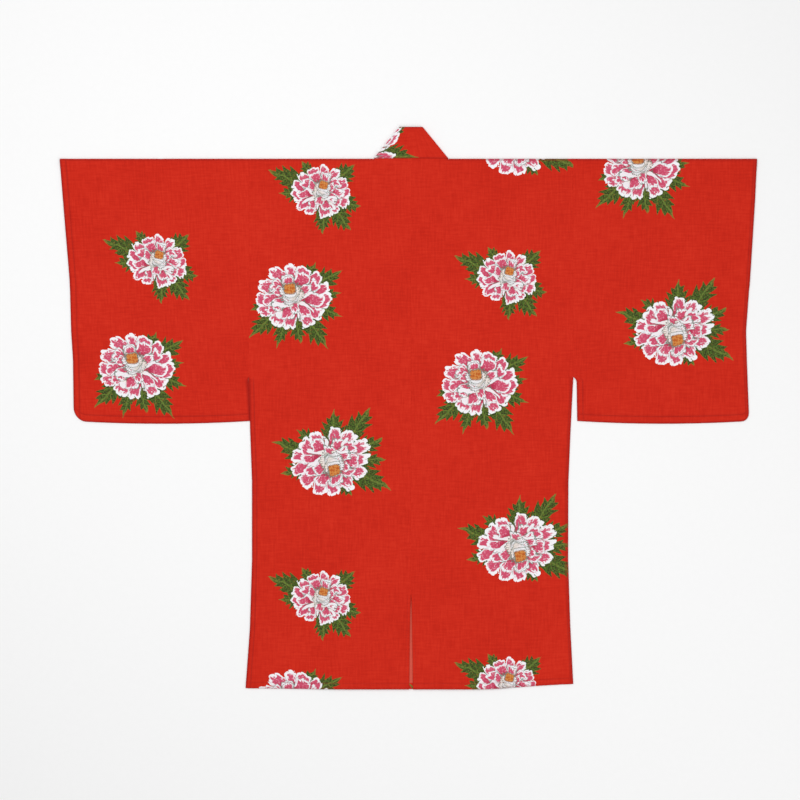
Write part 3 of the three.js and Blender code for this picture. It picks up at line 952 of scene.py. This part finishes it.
# The flower's petals from back to front, in its own size: middle, half length, half width, the way
# that the tip points in degrees, and the kind: 0 pink with a white edge, 1 pale, 2 the cup, 3 the heart.
petals = [
    (-0.04, -0.02, 0.58, 0.52, 0, 0), (-0.43, 0.60, 0.30, 0.20, 112, 0),
    (0.10, 0.68, 0.28, 0.24, 84, 0), (0.42, 0.60, 0.27, 0.22, 56, 0),
    (0.73, 0.38, 0.28, 0.22, 26, 0), (0.82, 0.05, 0.24, 0.20, 0, 0),
    (0.71, -0.30, 0.28, 0.22, -26, 0), (0.42, -0.60, 0.26, 0.22, -54, 0),
    (0.05, -0.72, 0.27, 0.21, -86, 0), (-0.32, -0.69, 0.25, 0.20, -108, 0),
    (-0.64, -0.52, 0.27, 0.21, -138, 0), (-0.85, -0.22, 0.27, 0.20, -164, 0),
    (-0.87, 0.14, 0.28, 0.21, 172, 0), (-0.68, 0.40, 0.28, 0.20, 146, 0),
    (-0.35, 0.42, 0.25, 0.16, 122, 0), (0.18, 0.46, 0.24, 0.24, 78, 0),
    (0.48, 0.33, 0.25, 0.20, 38, 0), (0.56, 0.02, 0.25, 0.19, -2, 0),
    (0.44, -0.30, 0.24, 0.21, -34, 0), (0.12, -0.49, 0.22, 0.21, -76, 0),
    (-0.24, -0.50, 0.23, 0.21, -114, 0), (-0.54, -0.28, 0.26, 0.20, -150, 0),
    (-0.62, 0.06, 0.27, 0.18, 178, 0), (0.36, 0.50, 0.18, 0.065, 62, 1),
    (-0.13, 0.42, 0.30, 0.045, 112, 1), (-0.42, 0.28, 0.33, 0.045, 158, 1),
    (0.32, 0.18, 0.25, 0.18, 26, 0), (-0.06, 0.26, 0.22, 0.19, 104, 0),
    (-0.34, -0.18, 0.24, 0.18, 206, 0), (-0.40, 0.01, 0.38, 0.05, 212, 1),
    (0.25, 0.25, 0.33, 0.045, -6, 1), (0.01, -0.08, 0.34, 0.31, 24, 2),
    (0.34, -0.16, 0.18, 0.15, -22, 0), (0.04, -0.13, 0.30, 0.26, 90, 0),
    (0.05, -0.17, 0.27, 0.25, 330, 2), (0.11, -0.47, 0.18, 0.16, -70, 0),
    (0.06, -0.22, 0.22, 0.20, 95, 2), (0.06, -0.25, 0.18, 0.16, 10, 3),
]

# The leaves round each flower, by the direction at which each one's sector starts, in degrees turning
# left from across the bolt: the way that its tip points, and its reach and half width.
leaves = {
    "small": [
        (0, 40, 80, 17), (58, 85, 0, 1), (112, 124, 68, 13), (140, 158, 110, 17), (170, 182, 80, 15),
        (200, 220, 0, 1), (252, 272, 78, 14), (287, 307, 92, 16), (322, 338, 80, 15), (352, 356, 0, 1),
    ],
    "open": [
        (0, 5, 94, 13), (14, 28, 108, 18), (42, 56, 78, 15), (72, 130, 0, 1), (186, 198, 82, 13),
        (208, 224, 110, 17), (238, 254, 99, 14), (262, 281, 90, 15), (290, 305, 117, 19),
        (322, 339, 100, 17), (352, 5, 94, 13),
    ],
    "turned": [
        (0, 2, 101, 15), (12, 25, 107, 16), (40, 55, 126, 19), (68, 89, 96, 18), (112, 139, 92, 15),
        (150, 163, 118, 19), (180, 195, 99, 17), (212, 250, 0, 1), (284, 299, 76, 14),
        (316, 335, 121, 20), (350, 2, 101, 15),
    ],
}

# How a leaf is drawn: what the table's reach of 150 and half width of 30 come to, in millimetres, and
# the leaf's half width from its foot to its tip, with the notches between its lobes.
leafDrawing = {
    "reach": 152, "wide": 35, "foot": 30, "sway": 16, "slant": 0.24, "veins": 5.5,
    "outline": [
        (0.0, 0.95), (0.05, 1.1), (0.09, 0.74), (0.27, 1.15), (0.31, 0.66), (0.48, 0.96),
        (0.52, 0.44), (0.68, 0.6), (0.72, 0.26), (0.86, 0.14), (1.0, 0.0),
    ],
}

# How a flower is drawn: the wander of its petals, their teeth, where the pink gives way to the white
# edge and where the drawn line lies, as shares of a petal.
petalDrawing = {
    "heartAt": (0.04, -0.23, 0), "wander": 0.36, "teeth": 15, "toothDepth": 0.38, "frayed": 0.34,
    "whiteEdge": (0.69, 0.80), "streaks": 0.6, "line": (0.87, 0.95), "stamens": 62,
}

# The weave: its pitch, its slub threads and how far the ink gives way to other tones: painted shade
# between the threads, the paler reverse, and painted shade along edges, folds and seams.
weave = {
    "pitch": 0.7, "warpSlub": (0.32, 0.03, 1), "weftSlub": (0.035, 0.30, 1), "cloud": 0.008,
    "shade": 0.13, "reverse": 0.37, "pressed": 0.6, "relief": 0.00016,
}

# The inks and the thread as screen colours, 0 to 255.
screenInks = {
    "ground": (204, 39, 21), "groundDeep": (193, 34, 18), "groundLight": (212, 46, 26),
    "white": (247, 249, 252), "cream": (250, 243, 216), "line": (96, 110, 96),
    "pink": (206, 80, 110), "pinkDeep": (184, 50, 82), "pinkPale": (232, 150, 168),
    "heart": (188, 96, 40), "heartLight": (214, 144, 74), "leafEdge": (152, 116, 52),
    "leafDark": (32, 48, 30), "leaf": (80, 122, 44), "leafLight": (116, 142, 62),
    # pressed is the dark red of the painted shade along edges, folds and seams.
    "reverse": (226, 132, 112), "pressed": (142, 18, 16),
    "thread": (128, 14, 14), "threadLight": (176, 36, 28),
}


def linear(screen):
    channels = [c / 255 for c in screen]
    return (*(c / 12.92 if c < 0.04045 else ((c + 0.055) / 1.055) ** 2.4 for c in channels), 1)


inks = {name: linear(screen) for name, screen in screenInks.items()}


def leafPrint(s, x, y, isOpen, isTurned):
    # One leaf stands in each sector of directions round the flower.
    draw = leafDrawing
    wander = s.noise(s.join(x, y, isOpen * 40 + isTurned * 90), 0.045, 2)
    turn = s.math("ARCTAN2", y, x) / (2 * math.pi)
    turn = s.math("WRAP", turn + (wander - 0.5) * 0.03, 1, 0)
    chosen = []
    for flower in ("small", "open", "turned"):
        stops = [
            (start / 360, (toward / 360, reach / 150, wide / 30, 1))
            for start, toward, reach, wide in leaves[flower]
        ]
        chosen.append(s.node("ShaderNodeValToRGB", {"stops": stops, "spread": "CONSTANT"}, {0: turn}))
    leaf = s.blend(isTurned, s.blend(isOpen, chosen[0], chosen[1]), chosen[2])
    toward, reach, wide = s.parts(leaf)
    toward, reach, wide = toward * (2 * math.pi), reach * draw["reach"], wide * draw["wide"]
    cosine, sine = s.math("COSINE", toward), s.math("SINE", toward)
    down = (x * cosine + y * sine - draw["foot"]) / (reach - draw["foot"])
    aside = abs(y * cosine - x * sine + (wander - 0.5) * draw["sway"] * down) / wide
    sideways = y * cosine - x * sine > 0
    barb = down - draw["slant"] * aside + sideways * 0.07
    spread = s.node("ShaderNodeFloatCurve", {"points": draw["outline"]}, {1: barb})
    inLeaf = (spread > aside) * (reach > draw["foot"] + 1) * (down < 1)
    margin = (spread - aside) * wide
    speck = s.noise(s.join(x, y, 5), 0.4, 4, 0.6)
    fleck = s.noise(s.join(x, y, 31), 0.3, 2)
    vein = s.math("FRACT", barb * draw["veins"])
    veinLine = s.fade(abs(vein - 0.5), 0.40, 0.48) * s.fade(aside, 1.0, 0.5) * 0.8
    rib = s.math("MAXIMUM", veinLine, s.fade(aside, 0.10, 0.03))
    ink = s.blend(s.fade(speck, 0.38, 0.66), inks["leafDark"], inks["leaf"])
    ink = s.blend(s.fade(fleck, 0.58, 0.70) * 0.5, ink, inks["leafEdge"])
    ink = s.blend(rib * (s.fade(speck, 0.3, 0.6) * 0.4 + 0.3), ink, inks["leafLight"])
    ink = s.blend(s.fade(margin + speck * 2, 2.4, 0.8) * 0.7, ink, inks["leafEdge"])
    return inLeaf, s.blend(s.fade(down, 0.78, 1.0) * 0.7, ink, inks["leafEdge"])


def flowerPrint(s, x, y, isOpen, isTurned):
    # In the flower's own size. The table has the turned flower: the small one is its mirror image,
    # and the open one stands on its head.
    draw = petalDrawing
    small = 1 / repeat["small"]["size"]
    size = small + (1 / repeat["open"]["size"] - small) * isOpen
    size = size + (1 / repeat["turned"]["size"] - small) * isTurned
    x, y = x * size * (1 - 2 * isOpen), y * size * (2 * isTurned - 1)
    fromHeart = s.vector("DISTANCE", s.join(x, y), draw["heartAt"], out=1)
    warp = s.noise(s.join(x, y, isOpen * 3.7 + isTurned * 8.3), 2.6, 1, 0.5, 1)
    warp = s.vector("SUBTRACT", warp, (0.5, 0.5, 0.5))
    warp = s.vector("MULTIPLY", warp, (draw["wander"], draw["wander"], 0))
    spot = s.vector("ADD", s.join(x, y), s.scaled(warp, s.fade(fromHeart, 0.05, 0.5) * 0.85 + 0.15))
    frill = s.noise(s.join(x, y, 2), 9, 1)
    tooth = abs(s.math("SINE", s.math("ARCTAN2", y, x) * draw["teeth"] + frill * 5))
    scallop = (1 - tooth) ** 2 * draw["toothDepth"] + (frill - 0.5) * draw["frayed"]

    # The front petal that covers a point gives it its place on the petal, and the petal's kind.
    front = (9, 9, 0)
    for petalX, petalY, long, wide, turn, kind in petals:
        here = s.node("ShaderNodeMapping", {"vector_type": "TEXTURE"}, {
            "Vector": spot,
            "Location": (petalX, petalY, -0.02 * kind),
            "Rotation": (0, 0, math.radians(turn)),
            "Scale": (long, wide, 1),
        })
        inside = s.vector("LENGTH", s.vector("MULTIPLY", here, here), out=1) + scallop < 1
        front = s.node("ShaderNodeMix", {"data_type": "VECTOR"}, {0: inside, 4: front, 5: here}, 1)
    tip, side, code = s.parts(front)
    reachOut = s.vector("LENGTH", s.vector("MULTIPLY", front, front), out=1)
    rim = (reachOut + scallop) ** 0.5
    isPale, isCup, isHeart = (code > 0.01) * (code < 0.03), (code > 0.03) * (code < 0.05), code > 0.05

    # Pink in the middle of each petal, streaked out into its white edge, and a thin grey line.
    streak = s.noise(s.join(tip * 1.3, side * 7, x + code * 90), 1.3, 2)
    toEdge = rim - s.fade(tip, 0.1, -0.8) * 0.25 + tip * 0.04 + (streak - 0.5) * draw["streaks"]
    blush = 1 - s.fade(toEdge, *draw["whiteEdge"])
    mottle = s.noise(s.join(x, y, 9), 17, 2)
    pink = s.blend(s.fade(tip, 0.1, -0.7), inks["pink"], inks["pinkDeep"])
    pink = s.blend(s.fade(mottle, 0.52, 0.72), pink, inks["pinkPale"])
    white = s.blend(s.fade(tip, -0.1, -0.9) * 0.5, inks["white"], inks["cream"])
    ink = s.blend(blush * (1 - isPale * 0.9) * (1 - isCup * 0.85), white, pink)
    ink = s.blend(isHeart, ink, s.blend(s.fade(mottle, 0.4, 0.6), inks["heart"], inks["heartLight"]))
    rings = s.math("SINE", fromHeart * draw["stamens"] + frill * 7)
    stamens = (isCup + isPale * s.fade(fromHeart, 0.5, 0.3)) * s.fade(rings, 0.35, 0.85)
    stamens = stamens * s.fade(mottle, 0.44, 0.56) * 0.3
    fromMiddle = s.vector("LENGTH", s.join(x, y), out=1)
    drawn = s.fade(rim, *draw["line"]) * s.fade(fromMiddle, 0.92, 0.6) * 0.9
    return reachOut < 4, s.blend(s.math("MAXIMUM", drawn, stamens), ink, inks["line"])


def printedCotton():
    s = Shader("printedCotton")
    bed = s.scaled(s.node("ShaderNodeUVMap", {"uv_map": "strip"}), 1 / layout["metre"])
    across, along, _ = s.parts(bed)

    # Which flower of the repeat a point belongs to, and its place from that flower's middle.
    opened, turned = repeat["open"], repeat["turned"]
    place = s.math("WRAP", along, repeat["start"] + repeat["length"], repeat["start"])
    isTurned = place > turned["from"]
    isOpen = (place > opened["from"]) - isTurned
    x = across - opened["across"] * isOpen - turned["across"] * isTurned
    y = opened["along"] * isOpen + turned["along"] * isTurned - place

    # The red ground, mottled by uneven threads both ways and by slow changes of tone.
    warpSlub = s.noise(s.vector("MULTIPLY", bed, weave["warpSlub"]), 1, 3, 0.6)
    weftSlub = s.noise(s.vector("MULTIPLY", bed, weave["weftSlub"]), 1, 3, 0.6)
    tone = (warpSlub + weftSlub) * 0.5 + (s.noise(bed, weave["cloud"], 2) - 0.5) * 0.3
    ink = s.node("ShaderNodeValToRGB", {"stops": [
        (0.34, inks["groundDeep"]), (0.5, inks["ground"]), (0.66, inks["groundLight"]),
    ]}, {0: tone})
    for motif in (leafPrint, flowerPrint):
        inside, motifInk = motif(s, x, y, isOpen, isTurned)
        ink = s.blend(inside, ink, motifInk)

    # Warp and weft threads that pass over each other, and thicker slub threads.
    turns = 2 * math.pi / weave["pitch"]
    warp, weft = across * turns + warpSlub * 5, along * turns + weftSlub * 5
    threads = s.math("SINE", warp) * s.math("SINE", weft)
    ink = s.blend(s.fade(threads, 0.2, -0.9) * weave["shade"], ink, inks["groundDeep"])
    # The paler reverse where it shows, and painted shade along edges, folds, seams and hem lines.
    for mark in ("reverse", "pressed"):
        amount = s.node("ShaderNodeAttribute", {"attribute_name": mark}, None, 2)
        ink = s.blend(amount * weave[mark], ink, inks[mark])
    height = threads * 0.5 + (warpSlub + weftSlub) * 1.4
    s.feed(
        Base_Color=ink, Roughness=0.86 - s.fade(tone, 0.4, 0.6) * 0.06,
        Normal=s.bump(height, weave["relief"], 0.6), Specular_IOR_Level=0.12,
        Sheen_Weight=0.05, Sheen_Roughness=0.5, Sheen_Tint=(1, 0.6, 0.5, 1),
    )
    return s.material


def sewingThread():
    # Two-ply cotton: a twist that runs along each stitch, and short fibres.
    s = Shader("sewingThread")
    spot = s.node("ShaderNodeTexCoord", None, None, 3)
    fuzz = s.noise(spot, 900, 2)
    x, y, _ = s.parts(spot)
    twist = s.math("SINE", (x + y) * (2 * math.pi / 0.0009) + fuzz * 3)
    ink = s.blend(s.fade(twist + fuzz, -0.4, 1.4), inks["thread"], inks["threadLight"])
    s.feed(
        Base_Color=ink, Roughness=0.7 + fuzz * 0.15, Normal=s.bump(twist, 0.00006, 0.6),
        Specular_IOR_Level=0.25, Sheen_Weight=0.1, Sheen_Roughness=0.5,
    )
    return s.material


cotton, thread = printedCotton(), sewingThread()
for piece in panels.values():
    piece.data.materials.append(cotton)
print("cotton printed:", len(cotton.node_tree.nodes), "nodes")

tree = stitchTree()
sewers = {"body": bodyRuns, "sleeve": sleeveRuns, "okumi": okumiRuns}
stitches = {
    f"{part}_{side}": sewn(f"{part}_{side}", runsOf(side), tree, thread)
    for part, runsOf in sewers.items() for side in halves
}
print("stitched:", {name: len(piece.data.polygons) for name, piece in stitches.items()})

# The photograph looks straight down on the garment.
shot = {"lens": 100, "sensor": 36, "wide": 1.4848, "x": -0.0155, "y": 0.0146, "raised": 0.004}
camera = linked(bpy.data.cameras.new("camera"))
camera.data.lens, camera.data.sensor_width, camera.data.clip_end = shot["lens"], shot["sensor"], 100
camera.location = (shot["x"], shot["y"], shot["wide"] * shot["lens"] / shot["sensor"] + shot["raised"])
bpy.context.scene.camera = camera

# White paper under the garment, far wider than the picture.
paper = {"half": 30, "dark": (0.93, 0.93, 0.93, 1), "light": (0.95, 0.95, 0.95, 1)}
floorMesh = bpy.data.meshes.new("floor")
far = paper["half"]
corners = [(-far, -far, 0), (far, -far, 0), (far, far, 0), (-far, far, 0)]
floorMesh.from_pydata(corners, [], [(0, 1, 2, 3)])
floor = linked(floorMesh)
s = Shader("floorPaper")
grain = s.noise(s.node("ShaderNodeTexCoord", None, None, 3), 90, 3)
s.feed(
    Base_Color=s.blend(grain, paper["dark"], paper["light"]), Roughness=0.9,
    Normal=s.bump(grain, 0.0002, 0.2), Specular_IOR_Level=0.2,
)
floorMesh.materials.append(s.material)

studio = {
    "sky": 0.5,
    "lamps": [
        {"name": "overhead", "at": (-0.6, 0.7, 2.6), "size": 2.2, "watts": 37},
        {"name": "fill", "at": (1.6, -1.3, 2.2), "size": 2.4, "watts": 19},
    ],
}
world = bpy.data.worlds.new("studio")
bpy.context.scene.world = world
world.use_nodes = True
world.node_tree.nodes["Background"].inputs["Color"].default_value = (1, 1, 1, 1)
world.node_tree.nodes["Background"].inputs["Strength"].default_value = studio["sky"]
for lamp in studio["lamps"]:
    light = bpy.data.lights.new(lamp["name"], "AREA")
    light.shape, light.size, light.energy = "DISK", lamp["size"], lamp["watts"]
    placed = linked(light)
    placed.location = lamp["at"]
    placed.rotation_euler = placed.location.to_track_quat("Z", "Y").to_euler()
bpy.context.scene.view_settings.view_transform = "Standard"
print("camera, floor and lights set")

# Each panel and its stitches hang from the root, and the panel's solid from model.glb is hidden.
for node, piece in panels.items():
    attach(piece, "root")
    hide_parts(node)
    trim = [stitches[node]] if node in stitches else []
    for sewnOn in trim:
        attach(sewnOn, "root")
